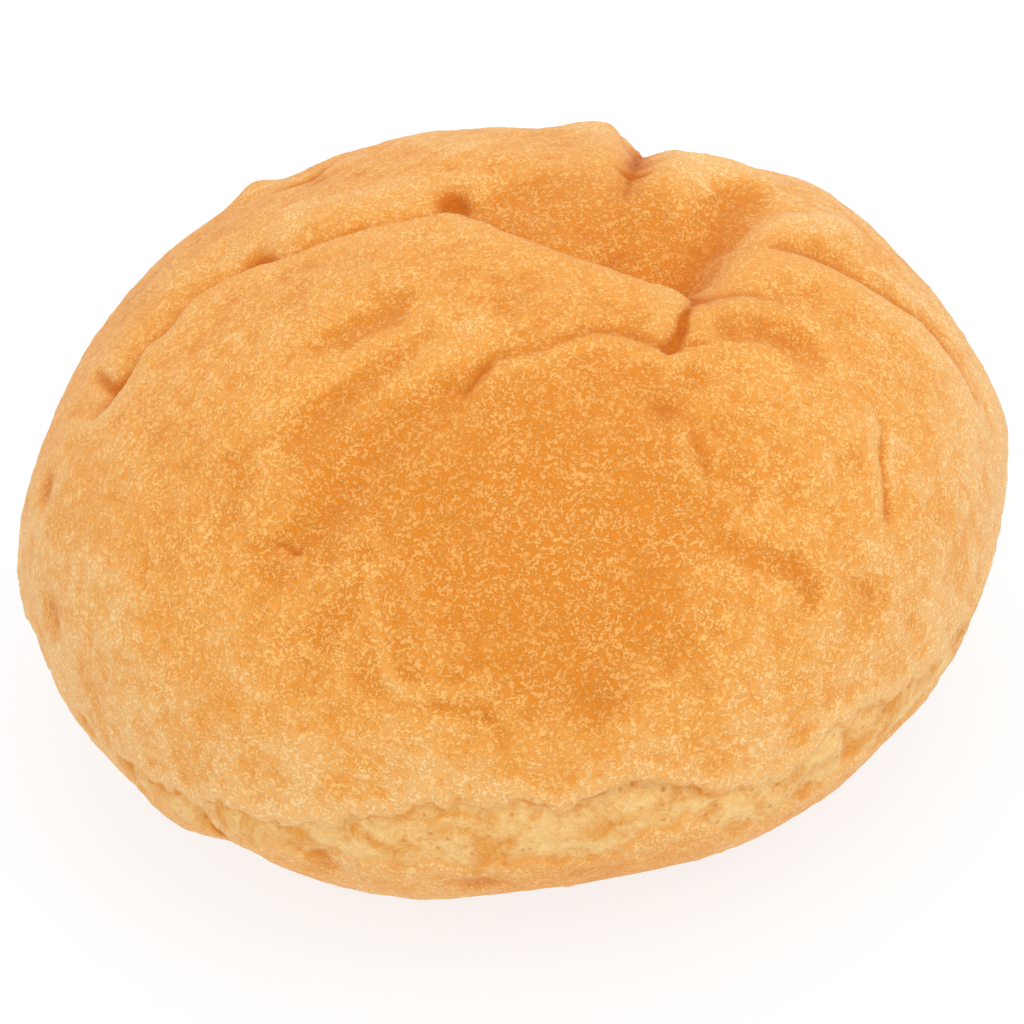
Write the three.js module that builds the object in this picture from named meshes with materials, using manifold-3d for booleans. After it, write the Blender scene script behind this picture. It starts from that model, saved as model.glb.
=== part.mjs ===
// A round, crusty bread roll, baked as one piece.
//
// The frame is in millimetres with +Z up. The origin is the middle of the flat spot that the roll
// rests on. A place on the crust is given by its bearing and its rise, in degrees, as seen from the
// roll's heart: bearing 0 faces -Y, bearing 90 faces +X, and rise 90 is straight up.

import * as THREE from 'three';
import { mergeVertices } from 'three/addons/utils/BufferGeometryUtils.js';
import Module from 'manifold-3d';

// Driving dimensions
const WIDTH = 114; // along X
const DEPTH = 112; // along Y
const HEIGHT = 64;
const WIDEST_LEVEL = 27.5; // height of the heart, where the roll is widest
const UNDERSIDE_SINK = 3; // how far the round underside would reach below the tray
const TOP_FULLNESS = 2.05; // 2 is an ellipse, and more is squarer
const UNDERSIDE_FULLNESS = 2.35;
const LEAN = 0.05; // the +X side rose higher than the -X side, by this share
const CRUST_DETAIL = 20; // how finely each face of the icosahedron is divided

// Low, broad rises and hollows of the dough: bearing, rise, reach and height.
const SWELLS = [
  [-153, 33, 16, 0.2],
  [-129, 21, 8, 0.6],
  [-141, 32, 4, 1.0],
  [162, 43, 11, -0.5],
  [165, 33, 6, -0.6],
  [150, 33, 6, -2.4],
  [140, 32, 8, -1.7],
  [128, 34, 10, -0.9],
  [131, 52, 8, -2.2],
  [118, 36, 14, 0.9],
  [90, 6, 22, 1.1],
  [-109, 18, 16, -0.8],
  [-68, 2, 15, -0.8],
  [-32, -15, 13, 0.4],
  [-14, -16, 12, 0.4],
  [6, -14, 12, -0.6],
  [37, -18, 17, 1.3],
  [-8, 62, 20, 1.6],
  [-60, 48, 18, 1.0],
  [55, 34, 16, 1.2],
];

// Small, round pits in the top, where the skin of the dough was drawn in.
const PITS = [
  [88, 55, 11, 2.6],
  [-3, 52, 4, 1.0],
  [36, 42, 5, 1.1],
  [-84, 15, 4, 0.8],
  [37, 15, 6, 0.8],
];

// The long fold where the top sank: the lip's bearing and rise, and how deep the dough drops
// behind it. It runs from the -X side, over the top and down the +X side.
const FOLD_LIP = [
  [-82, 25, 0],
  [-88, 31, 2.4],
  [-95, 38, 3.4],
  [-103, 51, 3.2],
  [-112, 65, 3.2],
  [-139, 77, 4.0],
  [146, 84, 4.2],
  [84, 79, 4.4],
  [68, 70, 4.6],
  [62, 60, 4.4],
  [64, 51, 3.2],
  [72, 44, 2.2],
  [79, 34, 1.6],
  [80, 24, 0.8],
  [78, 15, 0],
];
const FOLD_STEPS = 120; // how many stretches the lip is followed in
const LIP_LIFT = 0.3; // how high the lip stands, as a share of the drop
const LIP_WIDTH = 6;
const DROP_START = -2; // distances behind the lip where the dough starts to drop and stops
const DROP_END = 5;
const BACK_SLOPE_END = 20; // where the dough behind the fold is back at its full height

// The torn band round the side, where the crust split from the underside as the roll sprang.
const TEAR_RISE = -9;
const TEAR_SPREAD = 4;
const TEAR_DEPTH = 1.2;

const Z_AXIS = new THREE.Vector3(0, 0, 1);
const HEART = new THREE.Vector3(0, 0, WIDEST_LEVEL);

// The unit vector from the heart towards a bearing and a rise.
function directionOf(bearing, rise) {
  const turn = THREE.MathUtils.degToRad(bearing);
  const lift = THREE.MathUtils.degToRad(rise);
  return new THREE.Vector3(
    Math.sin(turn) * Math.cos(lift),
    -Math.cos(turn) * Math.cos(lift),
    Math.sin(lift),
  );
}

// The smooth roll's point in a direction from the heart, before it is flattened by the tray.
function smoothPoint(direction) {
  const upper = direction.z >= 0;
  const reach = upper ? HEIGHT - WIDEST_LEVEL : WIDEST_LEVEL + UNDERSIDE_SINK;
  const fullness = upper ? TOP_FULLNESS : UNDERSIDE_FULLNESS;
  const across = Math.hypot(direction.x / (WIDTH / 2), direction.y / (DEPTH / 2));
  const upright = Math.abs(direction.z) / reach;
  const radius = (across ** fullness + upright ** fullness) ** (-1 / fullness);
  return direction.clone().multiplyScalar(radius).add(HEART);
}

const bell = (distance, reach) => Math.exp(-((distance / reach) ** 2));

const swellPoints = [...SWELLS, ...PITS.map(([b, r, reach, depth]) => [b, r, reach, -depth])].map(
  ([bearing, rise, reach, height]) => ({
    centre: smoothPoint(directionOf(bearing, rise)),
    reach,
    height,
  }),
);

// The lip of the fold as closely spaced points, each with the drop behind it and the way it faces.
function followLip() {
  const corners = FOLD_LIP.map(([bearing, rise]) => smoothPoint(directionOf(bearing, rise)));
  const lip = new THREE.CatmullRomCurve3(corners, false, 'centripetal');
  const points = [];
  for (let i = 0; i <= FOLD_STEPS; i += 1) {
    const along = (i / FOLD_STEPS) * (FOLD_LIP.length - 1);
    const before = Math.min(Math.floor(along), FOLD_LIP.length - 2);
    const share = along - before;
    const at = lip.getPoint(i / FOLD_STEPS);
    const outward = at.clone().sub(HEART).normalize();
    points.push({
      at,
      behind: new THREE.Vector3().crossVectors(outward, lip.getTangent(i / FOLD_STEPS)).normalize(),
      drop: THREE.MathUtils.lerp(FOLD_LIP[before][2], FOLD_LIP[before + 1][2], share),
    });
  }
  return points;
}

const lipPoints = followLip();

// How far the fold raises the crust at a point of the smooth roll: the lip stands a little proud,
// and the dough behind it drops steeply and climbs back slowly.
function foldRelief(point) {
  let nearest = lipPoints[0];
  let gap = Infinity;
  for (const step of lipPoints) {
    const distance = step.at.distanceTo(point);
    if (distance < gap) {
      gap = distance;
      nearest = step;
    }
  }
  const behind = point.clone().sub(nearest.at).dot(nearest.behind) > 0 ? gap : -gap;
  const fall = THREE.MathUtils.smoothstep(behind, DROP_START, DROP_END);
  const climb = THREE.MathUtils.smoothstep(behind, DROP_END, BACK_SLOPE_END);
  return nearest.drop * (LIP_LIFT * bell(behind + LIP_WIDTH, LIP_WIDTH) - fall * (1 - climb));
}

// The crust's point in a direction from the heart.
function crustPoint(direction) {
  const smooth = smoothPoint(direction);
  const rise = THREE.MathUtils.radToDeg(Math.asin(direction.z));
  let relief = foldRelief(smooth) - TEAR_DEPTH * bell(rise - TEAR_RISE, TEAR_SPREAD);
  for (const { centre, reach, height } of swellPoints) {
    relief += height * bell(centre.distanceTo(smooth), reach);
  }
  const point = smooth.addScaledVector(direction, relief);
  point.z *= 1 + (LEAN * point.x) / (WIDTH / 2);
  return point;
}

// A closed ball of crust, still round underneath.
function crustGeometry() {
  const ball = new THREE.IcosahedronGeometry(1, CRUST_DETAIL);
  ball.deleteAttribute('normal');
  ball.deleteAttribute('uv');
  const geometry = mergeVertices(ball);
  const position = geometry.getAttribute('position');
  const direction = new THREE.Vector3();
  for (let i = 0; i < position.count; i += 1) {
    const point = crustPoint(direction.fromBufferAttribute(position, i).normalize());
    position.setXYZ(i, point.x, point.y, point.z);
  }
  return geometry;
}

const wasm = await Module();
wasm.setup();

// A closed three.js geometry as a manifold-3d solid.
function toSolid(geometry) {
  return new wasm.Manifold(
    new wasm.Mesh({
      numProp: 3,
      vertProperties: new Float32Array(geometry.getAttribute('position').array),
      triVerts: new Uint32Array(geometry.index.array),
    }),
  );
}

// A manifold-3d solid as a three.js geometry.
function toGeometry(solid) {
  const { vertProperties, triVerts } = solid.getMesh();
  const geometry = new THREE.BufferGeometry();
  geometry.setAttribute('position', new THREE.BufferAttribute(vertProperties, 3));
  geometry.setIndex(new THREE.BufferAttribute(triVerts, 1));
  geometry.computeVertexNormals();
  return geometry;
}

// The block below the tray's surface, which is cut off the round underside.
function trayGeometry() {
  const thickness = WIDEST_LEVEL;
  const block = new THREE.BoxGeometry(2 * WIDTH, 2 * DEPTH, thickness);
  block.translate(0, 0, -thickness / 2);
  block.deleteAttribute('normal');
  block.deleteAttribute('uv');
  return mergeVertices(block);
}

function breadRoll() {
  const solid = toSolid(crustGeometry()).subtract(toSolid(trayGeometry()));
  const geometry = toGeometry(solid);
  geometry.computeBoundingBox();
  const middle = geometry.boundingBox.getCenter(new THREE.Vector3());
  const crust = new THREE.MeshStandardMaterial({ color: 0xe99f4e, roughness: 0.8, metalness: 0 });
  const mesh = new THREE.Mesh(geometry, crust);
  mesh.position.set(-middle.x, -middle.y, 0);
  mesh.name = 'bread_roll';
  return mesh;
}

const roll = new THREE.Group();
roll.add(breadRoll());

export default roll;
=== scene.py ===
"""Looks of a round, crusty bread roll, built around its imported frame.

Blender's objects are in metres in the part's own frame, with +Z up and -Y towards the roll's best
side. The crust is shaped in millimetres. A place on it is a bearing and a rise in degrees, as seen
from the roll's heart: bearing 0 faces -Y, bearing 90 faces +X, and rise 90 is straight up.
"""

import logging
import math
from collections.abc import Iterable, Mapping
from dataclasses import dataclass, fields
from enum import Enum
from typing import ClassVar

import bpy
import numpy as np
from mathutils import Matrix, Vector


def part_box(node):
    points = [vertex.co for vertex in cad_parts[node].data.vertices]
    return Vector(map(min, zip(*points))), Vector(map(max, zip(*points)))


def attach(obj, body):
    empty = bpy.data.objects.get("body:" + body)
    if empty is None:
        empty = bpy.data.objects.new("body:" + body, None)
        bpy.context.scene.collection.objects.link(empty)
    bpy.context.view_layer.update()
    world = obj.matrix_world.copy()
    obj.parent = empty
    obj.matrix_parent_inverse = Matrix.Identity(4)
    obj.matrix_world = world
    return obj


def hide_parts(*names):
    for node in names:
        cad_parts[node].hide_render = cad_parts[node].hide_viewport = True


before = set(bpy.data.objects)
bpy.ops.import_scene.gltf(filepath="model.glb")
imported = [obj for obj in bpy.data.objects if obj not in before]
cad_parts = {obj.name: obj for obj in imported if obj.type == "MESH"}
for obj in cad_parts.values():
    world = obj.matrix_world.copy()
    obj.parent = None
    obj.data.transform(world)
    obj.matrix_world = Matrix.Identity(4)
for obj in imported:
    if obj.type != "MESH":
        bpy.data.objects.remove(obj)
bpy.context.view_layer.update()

LOG = logging.getLogger("bread_roll")
NODE = "bread_roll"
PIECE = "bread_roll_crust"
MM = 0.001

FULL_TURN = 360.0

Array = np.ndarray
Stop = tuple[float, ...]
Span = tuple[float, float]
Colour = tuple[float, float, float]


class Mark(str, Enum):
    """What is stored at each point of the crust for its finish to read."""

    # Bake holds the baked browning together with painted shade and highlight. Crease, hollow and nick
    # hold painted shade, and the lit lip holds painted highlight.
    BAKE = "bake"
    CREASE = "crease"
    TORN = "torn"
    UNDER = "under"
    LIT_LIP = "worn"
    HOLLOW = "hollow"
    NICK = "nick"


# The hollow and nick marks drive painted shade in hollows and nicks, and a painted highlight on ridges.
SUNK_STEPS = {Mark.HOLLOW: 60, Mark.NICK: 7}
"""How many times the surface is smoothed before each of these marks measures from it."""


def heading(bearing: Array | float, rise: Array | float) -> Array:
    """Turns places into unit vectors.

    Args:
        bearing: Degrees round the roll, 0 facing -Y and 90 facing +X.
        rise: Degrees above the level of the heart.

    Returns:
        Unit vectors from the heart, with x, y and z last.
    """
    turn, lift = np.radians(bearing), np.radians(rise)
    flat = np.cos(lift)
    return np.stack([np.sin(turn) * flat, -np.cos(turn) * flat, np.sin(lift)], axis=-1)


def smoothstep(values: Array, low: float | Array, high: float | Array) -> Array:
    """Goes smoothly from 0 at low to 1 at high, and high may be the smaller one."""
    share = np.clip((values - low) / (high - low), 0.0, 1.0)
    return share * share * (3.0 - 2.0 * share)


def bell(distance: Array, reach: float | Array) -> Array:
    """Is 1 at no distance, and fades to almost nothing past twice the reach."""
    return np.exp(-((distance / reach) ** 2))


def unit(vectors: Array) -> Array:
    """Scales vectors to a length of 1."""
    return vectors / np.linalg.norm(vectors, axis=-1, keepdims=True)


@dataclass(frozen=True)
class Dough:
    """The smooth roll without its folds: a squashed ball that rose higher on one side.

    Lengths are in millimetres. The heart is the level of the waist, and a fullness of 2 is round,
    with more of it squarer.
    """

    width: float
    depth: float
    height: float
    heart: float
    sink: float = 3.0
    top_fullness: float = 2.05
    underside_fullness: float = 2.35
    lean: float = 0.05
    rim: float = 0.7

    WIDTH_SHARE: ClassVar[float] = 0.991
    DEPTH_SHARE: ClassVar[float] = 1.001
    HEIGHT_SHARE: ClassVar[float] = 0.972
    HEART_SHARE: ClassVar[float] = 0.415

    @classmethod
    def in_box(cls, low: Vector, high: Vector) -> "Dough":
        """Sizes the dough for a box, leaving room at the top and sides for its swells.

        Args:
            low: The box's lowest corner, in metres.
            high: The box's highest corner, in metres.

        Returns:
            The dough.
        """
        size = (high - low) / MM
        width, depth = size.x * cls.WIDTH_SHARE, size.y * cls.DEPTH_SHARE
        return cls(width, depth, size.z * cls.HEIGHT_SHARE, size.z * cls.HEART_SHARE)

    def profile(self, places: Array) -> tuple[Array, Array, Array]:
        """Finds which of the roll's two profiles, above and below its waist, places are on.

        Args:
            places: Points or directions from the heart.

        Returns:
            The profile's height from the heart, its fullness, and how far across the roll each
            place is, where 1 is at its waist.
        """
        upper = places[..., 2] >= 0.0
        reach = np.where(upper, self.height - self.heart, self.heart + self.sink)
        fullness = np.where(upper, self.top_fullness, self.underside_fullness)
        across = np.hypot(places[..., 0] * 2 / self.width, places[..., 1] * 2 / self.depth)
        return reach, fullness, across

    def smooth(self, directions: Array) -> Array:
        """Finds the smooth roll's points, before the tray flattens it.

        Args:
            directions: Unit vectors from the heart.

        Returns:
            Points in millimetres from the heart.
        """
        reach, fullness, across = self.profile(directions)
        upright = np.abs(directions[..., 2]) / reach
        radius = (across**fullness + upright**fullness) ** (-1.0 / fullness)
        return directions * radius[..., None]

    def outward(self, points: Array) -> Array:
        """Finds which way the smooth roll faces.

        Args:
            points: Points on the smooth roll, from the heart.

        Returns:
            Unit vectors that point out of the roll.
        """
        reach, fullness, across = self.profile(points)
        along_x = points[..., 0] * (2 / self.width) ** 2
        along_y = points[..., 1] * (2 / self.depth) ** 2
        flat = np.maximum(across, 1e-6) ** (fullness - 2.0)
        upright = (np.abs(points[..., 2]) / reach) ** (fullness - 1.0)
        steep = np.sign(points[..., 2]) * upright / reach
        return unit(np.stack([along_x * flat, along_y * flat, steep], axis=-1))

    def settle(self, points: Array) -> Array:
        """Leans the shaped roll and flattens it where it lay on the tray.

        Args:
            points: Points of the shaped crust, from the heart.

        Returns:
            Points from the tray, whose surface is at a height of 0.
        """
        settled = points + np.array([0.0, 0.0, self.heart])
        settled[:, 2] *= 1.0 + self.lean * settled[:, 0] * 2 / self.width
        height = settled[:, 2]
        near = np.maximum(self.rim - np.abs(height), 0.0) / self.rim
        settled[:, 2] = np.maximum(height, 0.0) + near * near * self.rim / 4
        return settled


@dataclass
class Crust:
    """The crust's points while it is shaped, and what has been marked on them."""

    dough: Dough
    directions: Array

    def __post_init__(self) -> None:
        """Works out the smooth points and where they are."""
        count = len(self.directions)
        self.points = self.dough.smooth(self.directions)
        self.outward = self.dough.outward(self.points)
        self.bearing = np.degrees(np.arctan2(self.directions[:, 0], -self.directions[:, 1]))
        self.rise = np.degrees(np.arcsin(np.clip(self.directions[:, 2], -1.0, 1.0)))
        self.height = np.zeros(count)
        self.marks = {mark: np.zeros(count) for mark in Mark if mark not in SUNK_STEPS}

    def distance_to(self, bearing: float, rise: float) -> Array:
        """Measures from each smooth point to a place on the smooth roll, in millimetres."""
        centre = self.dough.smooth(heading(bearing, rise))
        return np.linalg.norm(self.points - centre, axis=1)

    def mark(self, mark: Mark, values: Array) -> None:
        """Adds to a mark."""
        self.marks[mark] += values

    def shaped(self) -> Array:
        """Gives the crust's points, raised by its height and settled on the tray."""
        return self.dough.settle(self.points + self.outward * self.height[:, None])


@dataclass(frozen=True)
class Swell:
    """A round rise in the dough, or a hollow where its height is negative."""

    bearing: float
    rise: float
    reach: float
    height: float
    # How dark the painted shade in the swell's middle is.
    crease: float = 0.0

    def shape(self, crust: Crust) -> None:
        """Raises the crust round the swell's centre.

        Args:
            crust: The crust while it is shaped.
        """
        near = bell(crust.distance_to(self.bearing, self.rise), self.reach)
        crust.height += self.height * near
        crust.mark(Mark.CREASE, self.crease * near)


@dataclass(frozen=True)
class BakeAndShadePatch:
    """A round patch of darker colour, or paler where its strength is negative, for baked browning and
    for painted shade and highlight.
    """

    bearing: float
    rise: float
    reach: float
    strength: float

    def shape(self, crust: Crust) -> None:
        """Marks the patch."""
        near = bell(crust.distance_to(self.bearing, self.rise), self.reach)
        crust.mark(Mark.BAKE, self.strength * near)


@dataclass(frozen=True)
class Trail:
    """A line over the smooth roll through stops of bearing, rise and strength."""

    stops: tuple[Stop, ...]
    step: float = 0.35

    POINTS_AT_ONCE: ClassVar[int] = 4000

    def followed(self, dough: Dough) -> tuple[Array, Array, Array]:
        """Follows the line in short steps.

        Args:
            dough: The smooth roll.

        Returns:
            The points, the way to the line's left at each, and the strength there.
        """
        table = np.array(self.stops)
        corners = dough.smooth(heading(table[:, 0], table[:, 1]))
        padded = np.vstack([2 * corners[0] - corners[1], corners, 2 * corners[-1] - corners[-2]])
        runs, strengths = [], []
        for index in range(len(corners) - 1):
            before, start, end, after = padded[index : index + 4]
            count = max(2, round(float(np.linalg.norm(end - start)) / self.step))
            share = np.arange(count)[:, None] / count
            runs.append(
                start
                + 0.5 * share * (end - before)
                + share**2 * (before - 2.5 * start + 2 * end - 0.5 * after)
                + share**3 * (1.5 * (start - end) + 0.5 * (after - before))
            )
            strengths.append(np.interp(share[:, 0], [0, 1], table[index : index + 2, 2]))
        line = np.vstack([*runs, corners[-1:]])
        points = dough.smooth(unit(line))
        left = unit(np.cross(dough.outward(points), np.gradient(points, axis=0)))
        return points, left, np.append(np.concatenate(strengths), table[-1, 2])

    def beside(self, crust: Crust, reach: float) -> tuple[Array, Array, Array]:
        """Measures how far the crust's points lie to the left of the line.

        Args:
            crust: The crust.
            reach: How far from the line to look, in millimetres.

        Returns:
            Which points are near, how far left of the line each is (right is negative), and the
            strength of the line beside it.
        """
        points, left, strength = self.followed(crust.dough)
        low, high = points.min(axis=0) - reach, points.max(axis=0) + reach
        near = np.nonzero(np.all((crust.points > low) & (crust.points < high), axis=1))[0]
        side, beside = np.empty(len(near)), np.empty(len(near))
        for part in np.array_split(np.arange(len(near)), len(near) // self.POINTS_AT_ONCE + 1):
            gaps = crust.points[near[part]][:, None, :] - points[None, :, :]
            squares = np.einsum("ijk,ijk->ij", gaps, gaps)
            nearest = squares.argmin(axis=1)
            rows = np.arange(len(part))
            across = np.einsum("ij,ij->i", gaps[rows, nearest], left[nearest])
            side[part] = np.sqrt(squares[rows, nearest]) * np.where(across < 0, -1.0, 1.0)
            beside[part] = strength[nearest]
        return near, side, beside


@dataclass(frozen=True)
class Fold:
    """A line where the dough folded in, with a round shoulder on each side of a sharp crease.

    The strength of the trail is the crease's depth in millimetres, and near and far are the widths
    of its shoulders. The near side lies to the right of the trail, and stands proud by the lip's
    share of the depth. Painted shade darkens the crease, reaching further down the far side, and a
    painted highlight pales the proud shoulder.
    """

    trail: Trail
    near: float
    far: float
    lip: float = 0.2
    sharp_far: bool = True
    # Painted shade in the crease: how dark it is, and how it spreads and leans.
    painted_shade: float = 0.6
    roundness: float = 0.6
    shade_least: float = 0.7
    shade_share: float = 0.14
    shade_lean: float = 1.6
    # Painted highlight on the proud shoulder.
    lip_highlight: float = 0.5

    def shape(self, crust: Crust) -> None:
        """Presses the fold into the crust, and marks the painted shade in its crease and the painted
        highlight on its proud shoulder.

        Args:
            crust: The crust while it is shaped.
        """
        points, side, depth = self.trail.beside(crust, self.near * 3 + self.far)
        share = np.where(side < 0, 1.0 + side / self.near, 1.0 - side / self.far)
        share = np.clip(share, 0.0, 1.0)
        round_fall = 1.0 - np.sqrt(1.0 - share**2)
        soft_fall = smoothstep(share, 0.0, 1.0)
        sharp = (side < 0) | self.sharp_far
        rounded = self.roundness * round_fall + (1.0 - self.roundness) * soft_fall
        fall = np.where(sharp, rounded, soft_fall)
        shoulder = bell(side + self.near, self.near)
        crust.height[points] += depth * (self.lip * shoulder - fall)
        open_share = np.clip(depth, 0.0, 1.0)
        leaning = np.where(side < 0, side * self.shade_lean, side)
        painted_shade = bell(leaning, self.shade_share * self.far + self.shade_least)
        # Painted shade along the crease, and a painted highlight on the proud shoulder.
        crust.marks[Mark.CREASE][points] += self.painted_shade * painted_shade * open_share
        crust.marks[Mark.LIT_LIP][points] += self.lip_highlight * shoulder * open_share


@dataclass(frozen=True)
class Welt:
    """A soft ridge along a line, or a soft valley where its strength is negative."""

    trail: Trail
    width: float
    bake: float = 0.0

    def shape(self, crust: Crust) -> None:
        """Raises the crust along the line, and adds to its browning by so much for each millimetre of
        its height: painted shade in a valley, and painted highlight on a ridge where the amount is
        negative.

        Args:
            crust: The crust while it is shaped.
        """
        points, side, height = self.trail.beside(crust, 3 * self.width)
        crust.height[points] += height * bell(side, self.width)
        # Painted shade in valleys, painted highlight on ridges.
        crust.marks[Mark.BAKE][points] += self.bake * np.abs(height) * bell(side, self.width)


@dataclass(frozen=True)
class Tear:
    """The band where the sides tore open above the bottom crust while the roll sprang up.

    Each stop is a bearing, and the rise of the band's upper and lower edge there. Depth and curls
    are in millimetres. Edges, reaches and the rag of the outline are in degrees of rise.
    """

    stops: tuple[Stop, ...]
    depth: float = 0.8
    floor_share: float = 0.35
    step_reach: float = 2.2
    upper_edge: Span = (0.9, -0.9)
    lower_edge: Span = (-1.2, 1.6)
    opening: Span = (0.5, 3.0)
    upper_curl: float = 0.3
    upper_curl_away: float = 1.6
    lower_curl: float = 0.2
    curl_reach: float = 1.4
    fade_rise: float = 16.0
    fade_bake: float = -0.16
    rag: float = 0.6
    rag_waves: tuple[int, ...] = (17, 29, 41, 59, 83, 113, 151, 197)
    rag_fineness: float = 0.55
    seed: int = 5

    def edge(self, bearing: Array, column: int) -> Array:
        """Finds an edge of the band, with its ragged outline.

        Args:
            bearing: Bearings of the crust's points.
            column: 1 for the upper edge and 2 for the lower one.

        Returns:
            The edge's rise at each bearing.
        """
        table = np.array(self.stops)
        smooth = np.interp(bearing, table[:, 0], table[:, column], period=FULL_TURN)
        dice = np.random.default_rng(self.seed + column)
        waves = np.array(self.rag_waves)
        phases = dice.uniform(0, 2 * math.pi, len(waves))
        heights = self.rag * (waves / waves[0]) ** -self.rag_fineness
        turn = np.radians(bearing)[:, None] * waves + phases
        return smooth + np.sin(turn) @ heights

    def shape(self, crust: Crust) -> None:
        """Opens the tear and marks its crumb.

        Args:
            crust: The crust while it is shaped.
        """
        upper, lower = self.edge(crust.bearing, 1), self.edge(crust.bearing, 2)
        over, under = crust.rise - upper, crust.rise - lower
        open_share = smoothstep(upper - lower, *self.opening)
        torn = smoothstep(over, *self.upper_edge) * smoothstep(under, *self.lower_edge) * open_share
        sunk = self.floor_share + (1.0 - self.floor_share) * bell(over, self.step_reach)
        crust.height -= self.depth * torn * sunk
        curl = self.upper_curl * bell(over - self.upper_curl_away, self.curl_reach)
        curl += self.lower_curl * bell(under + self.curl_reach, self.curl_reach)
        crust.height += curl * open_share * (1.0 - torn)
        crust.mark(Mark.TORN, torn)
        fading = smoothstep(over, self.fade_rise, 0.0) * smoothstep(crust.rise, lower, upper)
        crust.mark(Mark.BAKE, self.fade_bake * fading)


def ball(divisions: int, squash: float) -> tuple[Array, Array]:
    """Covers a ball evenly with four-sided faces, as a cube does whose faces bulge out.

    Args:
        divisions: How many faces lie along each edge of the cube.
        squash: How flat the ball is while its points are spread, so that they crowd at its waist.

    Returns:
        Unit vectors to the points, and the four points of each face, outside facing out.
    """
    steps = np.tan(np.linspace(-math.pi / 4, math.pi / 4, divisions + 1))
    across, along = (grid.ravel() for grid in np.meshgrid(steps, steps, indexing="ij"))
    rows = np.arange(divisions * (divisions + 1)).reshape(divisions, divisions + 1)[:, :-1].ravel()
    square = np.stack([rows, rows + divisions + 1, rows + divisions + 2, rows + 1], axis=1)
    points, faces = [], []
    for axis in range(3):
        for way in (1.0, -1.0):
            side = np.empty((len(across), 3))
            side[:, axis] = way
            side[:, (axis + 1) % 3] = across
            side[:, (axis + 2) % 3] = along
            faces.append((square if way > 0 else square[:, ::-1]) + len(points) * len(across))
            points.append(side)
    directions = unit(np.vstack(points)) * np.array([1.0, 1.0, squash])
    directions = unit(directions)
    _, first, place = np.unique(
        np.round(directions, 7) + 0.0, axis=0, return_index=True, return_inverse=True
    )
    return directions[first], place.ravel()[np.vstack(faces)]


class Socket:
    """An output of a node that can be used in sums."""

    def __init__(self, wiring: "Wiring", socket: bpy.types.NodeSocket) -> None:
        """Keeps the socket and the tree it is in."""
        self.wiring = wiring
        self.socket = socket

    def __add__(self, other: "Value") -> "Socket":
        """Adds."""
        return self.wiring.maths("ADD", self, other)

    def __radd__(self, other: "Value") -> "Socket":
        """Adds, from the right."""
        return self.wiring.maths("ADD", other, self)

    def __sub__(self, other: "Value") -> "Socket":
        """Takes away."""
        return self.wiring.maths("SUBTRACT", self, other)

    def __rsub__(self, other: "Value") -> "Socket":
        """Is taken away from another."""
        return self.wiring.maths("SUBTRACT", other, self)

    def __mul__(self, other: "Value") -> "Socket":
        """Multiplies."""
        return self.wiring.maths("MULTIPLY", self, other)

    def __rmul__(self, other: "Value") -> "Socket":
        """Multiplies, from the right."""
        return self.wiring.maths("MULTIPLY", other, self)

    def __rtruediv__(self, other: "Value") -> "Socket":
        """Divides another."""
        return self.wiring.maths("DIVIDE", other, self)

    def __abs__(self) -> "Socket":
        """Drops the sign."""
        return self.wiring.maths("ABSOLUTE", self)

    def most(self, other: "Value") -> "Socket":
        """Takes the larger of two."""
        return self.wiring.maths("MAXIMUM", self, other)

    def clamped(self) -> "Socket":
        """Keeps the value from 0 to 1."""
        return self.wiring.maths("MINIMUM", self.most(0.0), 1.0)

    def step(self, low: float, high: float) -> "Socket":
        """Goes smoothly from 0 at low to 1 at high, and high may be the smaller one.

        Args:
            low: The value that gives 0.
            high: The value that gives 1.

        Returns:
            The step.
        """
        rising = low < high
        ends = {"From Min": min(low, high), "From Max": max(low, high)}
        ends |= {"To Min": 0.0 if rising else 1.0, "To Max": 1.0 if rising else 0.0}
        return self.wiring.add(
            "ShaderNodeMapRange", {"Value": self, **ends}, interpolation_type="SMOOTHSTEP"
        )


Value = Socket | float | int | Colour


class Wiring:
    """Adds nodes to a tree."""

    def __init__(self, tree: bpy.types.NodeTree) -> None:
        """Keeps the tree."""
        self.tree = tree

    def add(
        self, kind: str, values: Mapping[str | int, "Value"] | None = None,
        out: str | int = 0, **settings: object,
    ) -> Socket:
        """Adds one node.

        Args:
            kind: The node's type.
            values: What each input holds or is linked to, by its name or number.
            out: The output that is wanted, by its name or number.
            **settings: The node's own settings, which are made before its inputs are.

        Returns:
            The output.
        """
        node = self.tree.nodes.new(kind)
        for name, setting in settings.items():
            setattr(node, name, setting)
        for name, value in (values or {}).items():
            self.put(self.enabled(node.inputs, name), value)
        return Socket(self, self.enabled(node.outputs, out))

    @staticmethod
    def enabled(sockets: Iterable[bpy.types.NodeSocket], name: str | int) -> bpy.types.NodeSocket:
        """Finds a socket by its number, or by its name among those the settings leave in use.

        Args:
            sockets: A node's inputs or outputs.
            name: The name or number.

        Returns:
            The socket.
        """
        if isinstance(name, int):
            return sockets[name]
        return next(socket for socket in sockets if socket.name == name and socket.enabled)

    def put(self, socket: bpy.types.NodeSocket, value: "Value") -> None:
        """Links an input or sets its value.

        Args:
            socket: The input.
            value: An output to link, or a value. A colour gets an alpha of 1.
        """
        if isinstance(value, Socket):
            self.tree.links.new(value.socket, socket)
        elif isinstance(value, tuple) and len(socket.default_value) == len(value) + 1:
            socket.default_value = (*value, 1.0)
        else:
            socket.default_value = value

    def maths(self, operation: str, *values: "Value") -> Socket:
        """Adds a Math node."""
        return self.add("ShaderNodeMath", dict(enumerate(values)), operation=operation)

    def blend(self, share: "Value", first: "Value", second: "Value") -> Socket:
        """Goes from one colour to another as a share goes from 0 to 1."""
        values = {"Factor": share, "A": first, "B": second}
        return self.add("ShaderNodeMix", values, out="Result", data_type="RGBA")


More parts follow.
